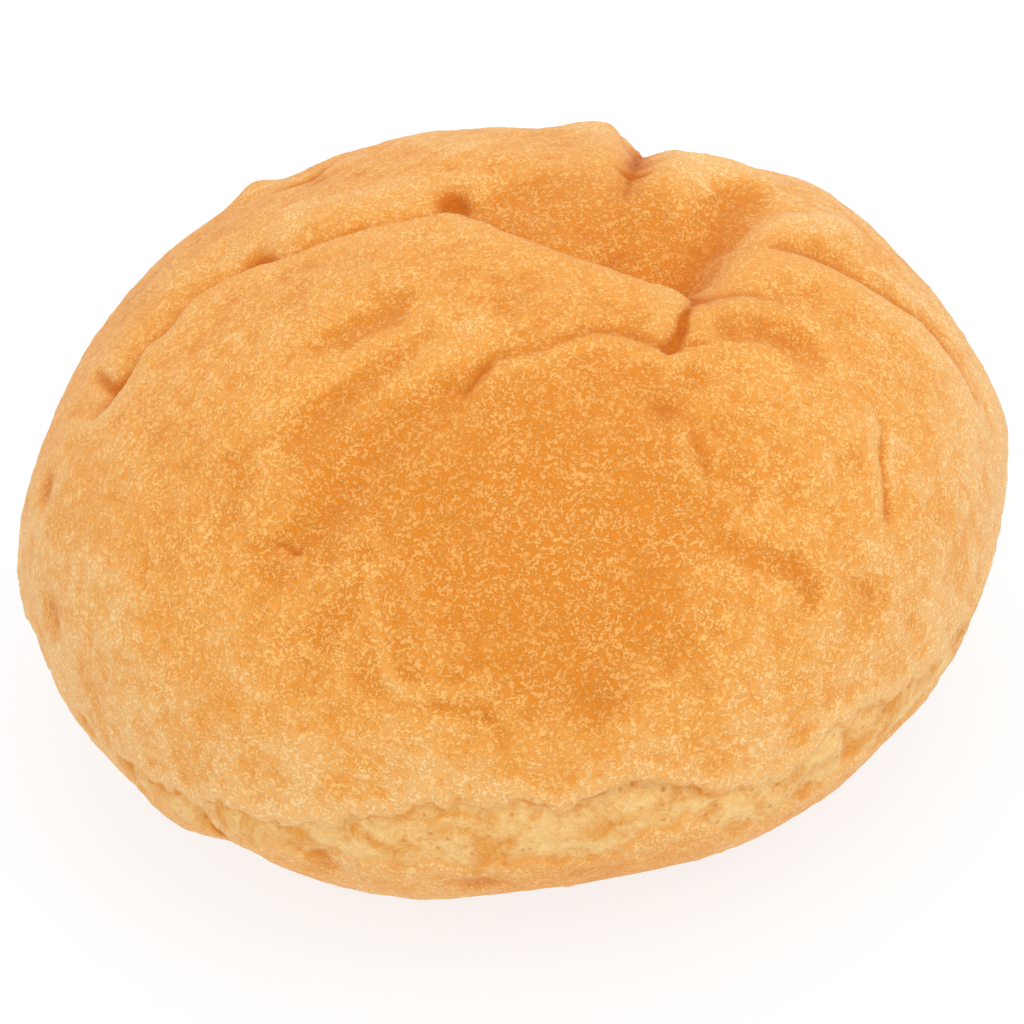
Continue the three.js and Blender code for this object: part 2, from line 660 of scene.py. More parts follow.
@dataclass(frozen=True)
class Cloud:
    """A cloudy pattern round 0.5: its size in millimetres, its finer layers and how it is stirred."""

    size: float
    detail: float = 2.0
    roughness: float = 0.5
    stirring: float = 0.0
    seed: float = 0.0


@dataclass(frozen=True)
class Cells:
    """A pattern of cells so many millimetres wide, 0 in the middle of each."""

    size: float
    seed: float = 0.0


class Canvas(Wiring):
    """A finish's nodes, with the roll's coordinates and marks at hand."""

    SEED_WAY = (1.0, -0.7, 0.3)

    def __init__(self, tree: bpy.types.NodeTree) -> None:
        """Reads the coordinates and the marks.

        Args:
            tree: The finish's tree.
        """
        super().__init__(tree)
        self.place = self.add("ShaderNodeTexCoord", out="Object")
        self.marks = {mark: self.marked(mark) for mark in Mark}

    def marked(self, mark: Mark) -> Socket:
        """Reads a mark."""
        return self.add("ShaderNodeAttribute", out="Fac", attribute_name=mark.value)

    def scaled(self, size: float, seed: float) -> dict[str, Value]:
        """Sizes a pattern.

        Args:
            size: The pattern's size, in millimetres.
            seed: Which of many such patterns it is, each a long way off from the others.

        Returns:
            The coordinates and the scale that the pattern takes.
        """
        away = tuple(share * seed for share in self.SEED_WAY)
        place = self.add("ShaderNodeVectorMath", {0: self.place, 1: away})
        return {"Vector": place, "Scale": 1.0 / (size * MM)}

    def cloud(self, cloud: Cloud) -> Socket:
        """Adds a cloudy pattern.

        Args:
            cloud: The pattern.

        Returns:
            Values round 0.5.
        """
        values = self.scaled(cloud.size, cloud.seed) | {"Detail": cloud.detail}
        values |= {"Roughness": cloud.roughness, "Distortion": cloud.stirring}
        return self.add("ShaderNodeTexNoise", values)

    def cells(self, cells: Cells) -> Socket:
        """Adds a pattern of cells."""
        return self.add("ShaderNodeTexVoronoi", self.scaled(cells.size, cells.seed), out="Distance")


def tint(red: int, green: int, blue: int) -> Colour:
    """Turns a screen colour of 0 to 255 into the linear one that shaders use.

    Args:
        red: How much red.
        green: How much green.
        blue: How much blue.

    Returns:
        The colour, from 0 to 1.
    """

    def linear(value: int) -> float:
        """Undoes the screen's curve for one channel."""
        share = value / 255
        return share / 12.92 if share <= 0.04045 else ((share + 0.055) / 1.055) ** 2.4

    return linear(red), linear(green), linear(blue)


@dataclass(frozen=True)
class CrustRelief:
    """The fine relief that the oven leaves on a crust. Heights and sizes are in millimetres."""

    lump_height: float = 1.5
    lump_size: float = 15.0
    wrinkle_height: float = 0.7
    wrinkle_size: float = 3.4
    blister_height: float = 0.14
    blister_size: float = 2.2
    fibre_height: float = 0.36
    clot_height: float = 0.54
    crumb_size: float = 2.6
    seed: int = 11

    BLISTER_EDGE: ClassVar[Span] = (0.42, 0.05)
    FIBRE_THINNESS: ClassVar[float] = 4.0
    LAYERS: ClassVar[dict[str, tuple[float, float, float]]] = {
        "lump": (1.0, 0.5, 0.0),
        "wrinkle": (2.0, 0.6, 3.0),
        "fibre": (3.0, 0.65, 7.0),
        "clot": (2.0, 0.5, 9.0),
    }
    """Each cloudy layer's detail and roughness, and what is added to the seed for it."""

    def tree(self, material: bpy.types.Material) -> bpy.types.NodeTree:
        """Builds the node tree that raises a surface.

        Args:
            material: The finish that the surface gets.

        Returns:
            The tree. Its inputs have the names of this class's fields.
        """
        tree = bpy.data.node_groups.new("crust_relief", "GeometryNodeTree")
        tree.interface.new_socket("Geometry", in_out="INPUT", socket_type="NodeSocketGeometry")
        tree.interface.new_socket("Geometry", in_out="OUTPUT", socket_type="NodeSocketGeometry")
        for field in fields(self):
            tree.interface.new_socket(field.name, in_out="INPUT", socket_type="NodeSocketFloat")
        wiring = Wiring(tree)
        inlet = tree.nodes.new("NodeGroupInput")
        given = {socket.name: Socket(wiring, socket) for socket in inlet.outputs if socket.name}
        normal = wiring.add("GeometryNodeInputNormal")
        lift = wiring.add(
            "ShaderNodeVectorMath",
            {0: normal, "Scale": self.height(wiring, given) * MM},
            operation="SCALE",
        )
        moved = wiring.add("GeometryNodeSetPosition", {"Geometry": given["Geometry"], "Offset": lift})
        whole = wiring.add("GeometryNodeRealizeInstances", {"Geometry": moved})
        dressed = wiring.add("GeometryNodeSetMaterial", {"Geometry": whole, "Material": material})
        outlet = tree.nodes.new("NodeGroupOutput")
        tree.links.new(dressed.socket, outlet.inputs["Geometry"])
        return tree

    def height(self, wiring: Wiring, given: Mapping[str, Socket]) -> Socket:
        """Adds up how far the relief stands out.

        Args:
            wiring: The tree's wiring.
            given: The tree's inputs, by name.

        Returns:
            The height in millimetres.
        """
        place = wiring.add("GeometryNodeInputPosition")

        def pattern(layer: str, size: Socket) -> Socket:
            """Adds one of the cloudy layers, round 0.

            Args:
                layer: Its name among the layers.
                size: The size of its clouds, in millimetres.

            Returns:
                The layer's values.
            """
            detail, roughness, offset = self.LAYERS[layer]
            values = {"Vector": place, "W": given["seed"] + offset, "Detail": detail}
            values |= {"Scale": 1 / MM / size, "Roughness": roughness}
            return wiring.add("ShaderNodeTexNoise", values, noise_dimensions="4D") - 0.5

        def marked(mark: Mark) -> Socket:
            """Reads one of the crust's marks."""
            return wiring.add("GeometryNodeInputNamedAttribute", {"Name": mark.value})

        torn, free = marked(Mark.TORN), 1.0 - marked(Mark.UNDER)
        cells = {"Vector": place, "W": given["seed"], "Scale": 1 / MM / given["blister_size"]}
        blisters = wiring.add(
            "ShaderNodeTexVoronoi", cells, out="Distance", voronoi_dimensions="4D"
        ).step(*self.BLISTER_EDGE)
        lumps = pattern("lump", given["lump_size"]) * given["lump_height"]
        wrinkles = pattern("wrinkle", given["wrinkle_size"]) * given["wrinkle_height"]
        crusty = (wrinkles + blisters * given["blister_height"]) * (1.0 - torn)
        fibres = 0.5 - abs(pattern("fibre", given["crumb_size"])) * self.FIBRE_THINNESS
        clots = pattern("clot", given["crumb_size"])
        crumb = fibres * given["fibre_height"] + clots * given["clot_height"]
        return (lumps + crusty) * free + crumb * torn

    def applied(self, piece: bpy.types.Object, material: bpy.types.Material) -> bpy.types.Mesh:
        """Raises a piece's surface.

        Args:
            piece: The piece, with the crust's marks on its mesh.
            material: The finish that it gets.

        Returns:
            The finished mesh.
        """
        modifier = piece.modifiers.new("crust_relief", "NODES")
        modifier.node_group = self.tree(material)
        for item in modifier.node_group.interface.items_tree:
            if item.in_out == "INPUT" and hasattr(self, item.name):
                modifier[item.identifier] = float(getattr(self, item.name))
        graph = bpy.context.evaluated_depsgraph_get()
        mesh = bpy.data.meshes.new_from_object(piece.evaluated_get(graph), depsgraph=graph)
        piece.modifiers.clear()
        return mesh


@dataclass(frozen=True)
class SkinPattern:
    """The fine pale threads, dots and blisters of a crust's skin."""

    line: Cloud = Cloud(0.52, 0.0, 0.5, 0.9, seed=3.0)
    line_edge: Span = (0.14, 0.03)
    line_slope: Span = (0.24, 0.0)
    broken: Cloud = Cloud(0.52, 0.0, seed=7.0)
    broken_edge: Span = (0.32, 0.46)
    dot: Cells = Cells(0.52, seed=1.0)
    dot_edge: Span = (0.46, 0.2)
    dot_share: float = 0.95
    dotted: Cloud = Cloud(1.2, 0.0, seed=6.0)
    dotted_edge: Span = (0.46, 0.6)
    blister: Cells = Cells(2.7, seed=4.0)
    blister_edge: Span = (0.2, 0.06)
    blister_share: float = 0.7
    patch: Cloud = Cloud(6.0, 3.0, 0.6, seed=5.0)
    patch_edge: Span = (0.36, 0.64)
    patch_share: float = 0.4

    def drawn(self, canvas: Canvas) -> tuple[Socket, Socket]:
        """Draws the pattern.

        Args:
            canvas: The finish's canvas.

        Returns:
            How pale the pattern is at each place, and how high it stands there.
        """
        line = abs(canvas.cloud(self.line) - 0.5)
        whole = canvas.cloud(self.broken).step(*self.broken_edge)
        dots = canvas.cells(self.dot).step(*self.dot_edge)
        dots = dots * canvas.cloud(self.dotted).step(*self.dotted_edge)
        blisters = canvas.cells(self.blister).step(*self.blister_edge)
        patches = canvas.cloud(self.patch).step(*self.patch_edge)
        threads = line.step(*self.line_edge) * whole
        threads = threads * (1.0 - self.patch_share + patches * self.patch_share)
        pale = threads.most(dots * self.dot_share).most(blisters * self.blister_share)
        high = (line.step(*self.line_slope) * whole).most(dots).most(blisters)
        return pale, high


@dataclass(frozen=True)
class CrumbFinish:
    """Torn crumb: pale clots with deeper hollows between them, fine fibres, and pores with painted
    shade.
    """

    pale: Colour = tint(249, 212, 143)
    hollow: Colour = tint(226, 144, 40)
    # Painted shade in the pores.
    pore_shade: Colour = tint(210, 114, 12)
    clot: Cloud = Cloud(5.5, 4.0, 0.6, 0.8, seed=8.0)
    clot_edge: Span = (0.34, 0.62)
    clot_share: float = 0.66
    clot_height: float = 0.8
    fibre: Cloud = Cloud(1.5, 3.0, 0.6, 1.4, seed=15.0)
    fibre_edge: Span = (0.12, 0.0)
    fibre_share: float = 0.3
    fibre_height: float = 0.3
    pore: Cells = Cells(1.1, seed=10.0)
    pore_edge: Span = (0.34, 0.14)
    pore_share: float = 0.55
    pore_depth: float = 0.5
    porous: Cloud = Cloud(2.4, 1.0, seed=13.0)
    porous_edge: Span = (0.5, 0.58)
    scrap: Cloud = Cloud(3.4, 6.0, 0.68, 0.6, seed=14.0)
    scrap_share: float = 2.4
    bare_edge: Span = (0.2, 0.9)
    torn_edge: Span = (0.0, 0.3)

    def bare(self, canvas: Canvas) -> Socket:
        """Finds where the tear is free of scraps of crust.

        Args:
            canvas: The finish's canvas.

        Returns:
            The share that is bare crumb.
        """
        torn = canvas.marks[Mark.TORN]
        scraps = (canvas.cloud(self.scrap) - 0.5) * self.scrap_share
        return (torn + scraps).step(*self.bare_edge) * torn.step(*self.torn_edge)

    def drawn(self, canvas: Canvas) -> tuple[Socket, Socket]:
        """Draws the crumb.

        Args:
            canvas: The finish's canvas.

        Returns:
            Its colour, and how high it stands.
        """
        clots = canvas.cloud(self.clot).step(*self.clot_edge)
        fibre = abs(canvas.cloud(self.fibre) - 0.5).step(*self.fibre_edge)
        pores = canvas.cells(self.pore).step(*self.pore_edge)
        pores = pores * canvas.cloud(self.porous).step(*self.porous_edge)
        share = (clots * self.clot_share + fibre * self.fibre_share).clamped()
        crumb = canvas.blend(share, self.hollow, self.pale)
        high = fibre * self.fibre_height + clots * self.clot_height - pores * self.pore_depth
        return canvas.blend(pores * self.pore_share, crumb, self.pore_shade), high


@dataclass(frozen=True)
class TrayFinish:
    """The evenly baked bottom that lay on the tray."""

    light: Colour = tint(232, 159, 44)
    dark: Colour = tint(208, 122, 28)
    cloud: Cloud = Cloud(9.0, 5.0, 0.6, seed=9.0)
    cloud_edge: Span = (0.3, 0.7)
    grain: Cloud = Cloud(0.9, 2.0, 0.6, seed=17.0)
    grain_edge: Span = (0.35, 0.65)
    grain_share: float = 0.35

    def drawn(self, canvas: Canvas) -> Socket:
        """Draws the bottom's colour.

        Args:
            canvas: The finish's canvas.

        Returns:
            The colour.
        """
        clouds = canvas.cloud(self.cloud).step(*self.cloud_edge) * (1.0 - self.grain_share)
        grain = canvas.cloud(self.grain).step(*self.grain_edge) * self.grain_share
        return canvas.blend(clouds + grain, self.light, self.dark)


@dataclass(frozen=True)
class CrustFinish:
    """Baked crust: golden, with fine pale wrinkles, and pale crumb where it tore.

    An edge is where a step in a value starts and ends, and a share is how far something tells.
    """

    deep: Colour = tint(225, 133, 24)
    golden: Colour = tint(240, 160, 64)
    pale: Colour = tint(245, 184, 105)
    thread: Colour = tint(254, 199, 118)
    thread_pale: Colour = tint(255, 219, 158)
    # The colour of painted shade in creases, pits, hollows and nicks.
    painted_shade: Colour = tint(210, 114, 12)
    pattern: SkinPattern = SkinPattern()
    crumb: CrumbFinish = CrumbFinish()
    tray: TrayFinish = TrayFinish()

    cloud: Cloud = Cloud(14.0, 3.0, 0.6, 0.6)
    cloud_share: float = 0.75
    mottle: Cloud = Cloud(4.2, 3.0, 0.6, 0.4, seed=2.0)
    mottle_share: float = 0.45
    mottle_height: float = 0.5
    uneven_least: float = 0.3
    uneven_share: float = 1.2
    # Painted shade in hollows and nicks, and painted highlight on ridges, at most so pale.
    hollow_share: float = 0.65
    nick_share: float = 2.0
    ridge_most: float = -0.14

    golden_edge: Span = (0.0, 0.5)
    deep_edge: Span = (0.45, 1.0)
    speck: Cloud = Cloud(0.5, 1.0, 0.6, seed=12.0)
    speck_edge: Span = (0.48, 0.68)
    specked_edge: Span = (0.0, 0.6)
    speck_share: float = 0.5

    thread_edge: Span = (0.05, 0.5)
    thread_share: float = 0.8
    thread_fade: float = 0.22
    thread_fade_edge: Span = (0.5, 0.95)
    thread_height: float = 0.6
    tray_smoothness: float = 0.6
    crease_smoothness: float = 0.6
    crease_edge: Span = (0.3, 1.2)

    # Painted highlight on the proud shoulders of folds.
    lit_lip_share: float = 0.35
    # Painted shade: how dark creases, hollows and nicks get, and how far a hollow or nick sinks before
    # any shows.
    crease_shade: float = 0.55
    hollow_shade: float = 0.2
    hollow_unshaded: float = 0.4
    nick_shade: float = 2.5
    nick_unshaded: float = 0.08
    crumb_share: float = 0.88
    tray_mottle: float = 0.9
    tray_edge: Span = (0.3, 0.75)

    roughness: float = 0.7
    thread_roughness: float = 0.08
    thread_mean: float = 0.4
    crumb_roughness: float = 0.2
    specular: float = 0.25
    sheen: float = 0.09
    sheen_roughness: float = 0.5
    bump: float = 0.7
    bump_height: float = 0.22

    def browned_and_shaded(self, canvas: Canvas, mottle: Socket) -> Socket:
        """Works out how brown the crust is from its baking and blotches, with painted shade darkening
        the hollows and nicks and a painted highlight paling the ridges.

        Args:
            canvas: The finish's canvas.
            mottle: Its small blotches, round 0.

        Returns:
            How brown it is with its painted shade and highlight, from 0 to 1.
        """
        bake, hollow = canvas.marks[Mark.BAKE], canvas.marks[Mark.HOLLOW]
        blotches = (canvas.cloud(self.cloud) - 0.5) * self.cloud_share + mottle * self.mottle_share
        uneven = blotches * (bake * self.uneven_share + self.uneven_least).clamped()
        # Painted shade in hollows and nicks, and painted highlight on ridges.
        dips = hollow * self.hollow_share + canvas.marks[Mark.NICK] * self.nick_share
        return (bake + uneven + dips.most(self.ridge_most)).clamped()

    def skin(self, canvas: Canvas, browned_and_shaded: Socket, pattern: Socket) -> Socket:
        """Colours the crust's skin.

        Args:
            canvas: The finish's canvas.
            browned_and_shaded: How brown it is, with its painted shade and highlight.
            pattern: Where its pale pattern is.

        Returns:
            The colour.
        """
        ground = canvas.blend(browned_and_shaded.step(*self.golden_edge), self.pale, self.golden)
        ground = canvas.blend(browned_and_shaded.step(*self.deep_edge), ground, self.deep)
        specks = canvas.cloud(self.speck).step(*self.speck_edge) * self.speck_share
        ground = canvas.blend(specks * browned_and_shaded.step(*self.specked_edge), ground, self.deep)
        thread = canvas.blend(browned_and_shaded.step(*self.thread_edge), self.thread_pale, self.thread)
        strength = self.thread_share - self.thread_fade * browned_and_shaded.step(*self.thread_fade_edge)
        skin = canvas.blend(pattern * strength, ground, thread)
        # Painted highlight: the proud shoulders of folds are paled.
        return canvas.blend((canvas.marks[Mark.LIT_LIP] * self.lit_lip_share).clamped(), skin, self.pale)

    def painted_shading(self, canvas: Canvas) -> Socket:
        """Works out the painted shade in the creases, pits, hollows and nicks, from 0 to 1.

        Args:
            canvas: The finish's canvas.

        Returns:
            The share of the painted shade's colour.
        """
        creases = canvas.marks[Mark.CREASE] * self.crease_shade
        hollows = (canvas.marks[Mark.HOLLOW] - self.hollow_unshaded).most(0.0) * self.hollow_shade
        nicks = (canvas.marks[Mark.NICK] - self.nick_unshaded).most(0.0) * self.nick_shade
        return ((creases + hollows + nicks) * (1.0 - canvas.marks[Mark.TORN])).clamped()

    def material(self) -> bpy.types.Material:
        """Builds the material.

        Returns:
            The material.
        """
        material = bpy.data.materials.new("baked_crust")
        material.use_nodes = True
        material.node_tree.nodes.clear()
        canvas = Canvas(material.node_tree)
        torn, under = canvas.marks[Mark.TORN], canvas.marks[Mark.UNDER]
        mottle = canvas.cloud(self.mottle) - 0.5
        pattern, raised = self.pattern.drawn(canvas)
        folded = canvas.marks[Mark.CREASE].step(*self.crease_edge)
        pattern = pattern * (1.0 - torn) * (1.0 - under * self.tray_smoothness)
        pattern = pattern * (1.0 - folded * self.crease_smoothness)
        colour = self.skin(canvas, self.browned_and_shaded(canvas, mottle), pattern)
        # Painted shade in the creases, pits, hollows and nicks.
        colour = canvas.blend(self.painted_shading(canvas), colour, self.painted_shade)
        crumb, clots = self.crumb.drawn(canvas)
        bare = self.crumb.bare(canvas)
        colour = canvas.blend(bare * self.crumb_share, colour, crumb)
        bottom = (under + mottle * self.tray_mottle).step(*self.tray_edge)
        colour = canvas.blend(bottom, colour, self.tray.drawn(canvas))

        relief = raised * (1.0 - torn) * self.thread_height + mottle * self.mottle_height
        bump = {"Strength": self.bump, "Distance": self.bump_height * MM}
        normal = canvas.add("ShaderNodeBump", bump | {"Height": relief + clots * bare})
        rough = self.roughness + (pattern - self.thread_mean) * self.thread_roughness
        surface = canvas.add(
            "ShaderNodeBsdfPrincipled",
            {
                "Base Color": colour,
                "Roughness": rough + torn * self.crumb_roughness,
                "Normal": normal,
                "Specular IOR Level": self.specular,
                "Sheen Weight": self.sheen,
                "Sheen Roughness": self.sheen_roughness,
            },
        )
        outlet = canvas.tree.nodes.new("ShaderNodeOutputMaterial")
        canvas.tree.links.new(surface.socket, outlet.inputs["Surface"])
        return material


@dataclass(frozen=True)
class BreadRoll:
    """The roll, baked as one piece.

    Bakes are from 0 to 1. A span has the rise where something starts and the rise where it is full.
    """

    low: Vector
    high: Vector
    divisions: int = 126
    squash: float = 0.72
    side_bake: float = 0.28
    dome_bake: float = 0.22
    dome_span: Span = (2, 35)
    rim_bake: float = 0.13
    rim_span: Span = (-8, -15)
    tray_span: Span = (-19, -34)
    relief: CrustRelief = CrustRelief()
    finish: CrustFinish = CrustFinish()

    def swells(self) -> tuple[Swell, ...]:
        """Lists the broad rises and hollows of the dough, and then its small pits and its knob.

        Returns:
            The swells. A row has a bearing, a rise, a reach, a height and how dark the painted shade in
            its middle is.
        """
        broad = (
            (-153, 33, 16, 0.2), (-129, 21, 8, 0.6), (165, 33, 6, -0.6), (162, 43, 11, -0.5),
            (128, 34, 10, -1.2), (142, 30, 10, -2.2), (118, 36, 14, 0.9), (90, 6, 22, 1.1),
            (88, 3, 7, 1.0), (106, 14, 8, -0.9), (-109, 18, 16, -0.8), (-100, 10, 8, -0.6),
            (-68, 2, 15, -0.8), (-76, -4, 5, -0.7), (-32, -15, 13, 0.4), (-39, -17, 4, -1.4),
            (-14, -16, 12, 0.4), (6, -14, 12, -0.6), (37, -18, 17, 0.9), (50, -14, 9, -0.6),
            (-8, 62, 20, 1.6), (-60, 48, 18, 1.0), (55, 34, 16, 1.2),
        )
        small = (
            (88, 54, 8.0, -1.6), (-142, 31, 2.5, 1.4), (154, 40, 4.5, 0.9),
            (-168, 71.5, 1.5, -1.3, 1.1), (-168, 74, 1.9, -1.3, 1.1), (-107, 50.5, 2.1, -1.7, 1.8),
            (-93, 38.5, 2.3, -1.4, 1.4), (-145, 44, 2.6, -0.7, 0.5), (-88, 31, 1.6, -1.2, 0.9),
            (40, 42.5, 1.6, -0.3, 0.1), (32, 41, 2.2, -0.7, 0.25), (-82, 16, 2.6, -0.6, 0.1),
            (-70, 5.5, 3.4, -0.7, 0.15), (45, 10, 3.0, -0.4, 0.2), (9, 11.5, 2.8, -0.4, 0.2),
            (-4, 11.5, 0.6, -0.4, 0.6), (-25, -9, 3.0, -1.1, 0.45), (-7, -13, 3.2, -0.8, 0.3),
            (33, -9, 2.2, -0.8, 0.6), (39, -7, 1.8, -0.8, 0.6), (-47, -12, 5.0, 0.8, 0.2),
            (-40, -16, 3.0, -0.9),
        )
        return tuple(Swell(*row) for row in broad + small)

    def folds(self) -> tuple[Fold | Welt, ...]:
        """Lists the folds and ridges. Each trail has its shoulder in front on its right.

        Returns:
            The folds and ridges.
        """
        return (
            Fold(Trail(((-82, 26, 0), (-86, 31, 2.0), (-92, 36.5, 3.0), (-100, 45, 3.4),
                        (-104, 57, 3.4), (-115, 71, 4.0), (-150, 80, 4.4), (168, 85, 4.6),
                        (82, 83, 4.8), (66, 75, 5.0), (64, 66, 4.8), (63, 58, 3.6),
                        (60, 51, 1.4), (57, 47, 0))), near=2.4, far=10.0, lip=0.1,
                 painted_shade=1.0),
            Welt(Trail(((-140, 68, 0), (170, 72, -1.4), (110, 71, -2.6), (88, 66, -3.0),
                        (80, 59, -2.0), (84, 50, 0))), width=8.0, bake=0.08),
            Fold(Trail(((62, 52, 0), (58, 50.5, 1.2), (52, 50, 1.8), (47, 48.5, 1.8),
                        (42, 47.5, 0.8), (40, 47, 0))), near=1.8, far=1.1, painted_shade=1.0),
            Fold(Trail(((41, 47.5, 0.4), (46, 46, 0.5), (50, 44, 0.2), (52, 43, 0))),
                 near=1.2, far=1.4, painted_shade=0.5),
            Fold(Trail(((-8, 50, 0), (-5, 52, 0.6), (0, 55, 0.8), (2.5, 56, 0.4), (12, 56, 0.3),
                        (21, 56.5, 0.45), (29, 56, 0.5), (35, 54, 0.5), (39, 50.5, 0.7),
                        (41, 47.5, 0.7))), near=1.3, far=1.7, lip=0.4, painted_shade=0.5),
            Fold(Trail(((60, 50, 0.6), (63.5, 48, 0.9), (66.5, 45.5, 0.8), (68, 42, 0.5),
                        (67, 38, 0))), near=2.4, far=5.0, lip=0.5),
            Fold(Trail(((61, 61, 0), (65, 56, 1.6), (71, 52.5, 2.2), (79, 49.5, 1.6), (86, 46, 0.9),
                        (92, 42, 0))), near=3.5, far=8.0, sharp_far=False, painted_shade=0.2),
            Fold(Trail(((84, 45, 0), (86, 42, 0.9), (87, 36, 1.3), (86, 29, 1.5), (86, 22, 1.5),
                        (84, 16, 1.0), (78, 10, 0))), near=3.2, far=6.0, lip=0.4, painted_shade=0.35),
            Fold(Trail(((158, 13, 0), (154, 20, 1.8), (150, 32, 4.2), (141, 44, 3.8),
                        (131, 53, 2.6), (124, 57.5, 1.7), (116, 61, 0.9), (107, 64, 0.4),
                        (98, 66, 0))), near=4.0, far=5.0, lip=0.1),
            Fold(Trail(((-138, 38, 0), (-143, 41, 0.8), (-149, 41, 0.9), (-154, 38, 0))),
                 near=1.6, far=2.4, painted_shade=0.9),
            Fold(Trail(((-90, 34, 0), (-87, 31, 0.9), (-89, 29, 0.9), (-94, 27, 0.5), (-97, 26, 0))),
                 near=1.8, far=1.8, lip=0.5),
            Welt(Trail(((-3, 14, 0), (-7, 14.5, 0.2), (-14, 15, 0.28), (-16, 18, 0.28),
                        (-18, 23, 0.2), (-19, 27, 0.12), (-19.5, 30, 0))), width=0.7, bake=-0.9),
            Welt(Trail(((-3, 12.5, 0), (-7, 13, -0.2), (-13, 13.5, -0.2), (-18, 16, -0.1),
                        (-20, 20, 0))), width=1.3, bake=0.1),
            Fold(Trail(((-37, 28, 0), (-33.5, 29, 0.6), (-31, 28.5, 0.7), (-30, 31, 0))),
                 near=0.9, far=0.9, lip=0.4),
            Fold(Trail(((62, 26, 0), (60, 23, 0.3), (56, 20.5, 0.4), (52, 16, 0.45), (50, 14, 0))),
                 near=1.1, far=1.6, lip=0.5, painted_shade=0.4),
            Fold(Trail(((36, 39, 0), (33, 36, 0.35), (32, 32, 0.45), (31, 29, 0))),
                 near=1.4, far=1.6, lip=0.5),
            Welt(Trail(((-40, 26, 0), (-32, 29, -1.0), (-26, 37, -1.2), (-20, 47, -1.1),
                        (-10, 52, -0.9), (2, 56, 0))), width=3.2, bake=0.3),
            Welt(Trail(((-27, 42, 0), (-23, 48, 0.6), (-13, 55, 0.8), (-2, 60, 0.6), (10, 61, 0))),
                 width=3.0, bake=-0.3),
            Welt(Trail(((52, 47, 0), (56, 44.5, -1.0), (60, 41, -1.2), (61, 37, -1.0), (58, 31, 0))),
                 width=2.4, bake=0.35),
            Welt(Trail(((27, 25, 0), (32, 20.5, -0.6), (36, 17.5, -0.9), (37, 14.5, -0.8),
                        (35, 11, 0))), width=2.0, bake=0.2),
            Welt(Trail(((-54, 49, 0), (-45, 58, -0.8), (-36, 65, -0.8), (-26, 69, 0))), width=3.0,
                 bake=0.25),
            Welt(Trail(((-43, 38, 0), (-35, 48, -0.7), (-26, 56, -0.6), (-14, 63, 0))), width=2.6,
                 bake=0.25),
            Welt(Trail(((64, 58, 0), (70, 56, -1.8), (77, 54.5, -2.4), (92, 51.5, -2.4),
                        (105, 46, -1.5), (114, 40, 0))), width=3.8, bake=0.14),
            Welt(Trail(((-160, 74, 0), (155, 73, -0.6), (122, 72, -1.0), (95, 68, -1.2),
                        (75, 64, -1.2), (67, 58.5, -0.5))), width=3.0, bake=0.32),
            Welt(Trail(((128, 52, 0), (123, 49, 0.7), (120, 42, 0.8), (112, 35, 0))), width=4.0,
                 bake=-0.25),
            Fold(Trail(((122, 52, 0), (127, 55.5, 1.2), (132, 57, 0))), near=1.4, far=1.2, painted_shade=1.0),
            Welt(Trail(((72, 51.5, 0), (77, 50, 0.9), (84, 48, 1.0), (93, 41.5, 1.0),
                        (98, 33.5, 0.6), (100, 27, 0))), width=1.8, bake=-0.25),
            Fold(Trail(((-44, -3, 0), (-43, -5, 1.0), (-41, -8, 1.3), (-39, -12, 0.8), (-38, -15, 0))),
                 near=1.6, far=1.2, painted_shade=0.9),
            Fold(Trail(((24, -4.5, 0), (17, -2.2, 0.8), (12, 0.2, 1.3), (7, 0, 0.8), (4, -1, 0))),
                 near=1.2, far=1.6, painted_shade=1.0),
            Welt(Trail(((72, 50, 0), (82, 47, 0.8), (90, 42, 0.9), (98, 36, 0.7), (104, 28, 0))),
                 width=4.0),
        )

    def bake_and_shade_patches(self) -> tuple[BakeAndShadePatch, ...]:
        """Lists patches of darker and paler colour. Those along the valley behind the lip and in its
        hollow are painted shade, and the paler ones at the back and right are painted highlight on
        the pale edges.

        Returns:
            The patches. A row has a bearing, a rise, a reach and a strength.
        """
        # Rows 4 to 7 are painted shade along the valley behind the lip, and the last three rows painted
        # highlight at the back and right.
        patches = (
            (5, 28, 26, 0.55), (-30, 42, 10, 0.25), (10, 20, 12, 0.2), (84, 56, 12, 0.35),
            (110, 70, 10, 0.25), (123, 68, 6, 0.4), (100, 64, 6, 0.35), (175, 45, 22, -0.14),
            (112, 28, 22, -0.16), (80, 8, 16, -0.1),
        )
        return tuple(BakeAndShadePatch(*row) for row in patches)

    def tear(self) -> Tear:
        """Gives the torn band all round the side.

        Returns:
            The band.
        """
        return Tear((
            (-180, -5, -6.5), (-168, -3, -9), (-152, -2, -9), (-138, -5.5, -8), (-126, -7, -7),
            (-112, -6, -7.5), (-100, -4, -8), (-85, -3, -7), (-70, -5, -6.5), (-58, -6, -7),
            (-50, -6, -9), (-42, -5, -10), (-34, -2.5, -9), (-27, -4.5, -8.5), (-20, -1, -7),
            (-12, 1, -7), (-7, 1, -11), (-1, 0, -8), (5, 0, -10.5), (12, 0.5, -8), (19, -3, -7),
            (23, -4.5, -11), (32, -4.5, -11), (41, -2.5, -9), (50, -4.5, -12), (62, -6, -13),
            (75, -4, -11), (95, -3, -9), (112, -6, -7.5), (124, -7, -7.5), (138, -4, -10),
            (152, -3, -9), (166, -6, -7),
        ))

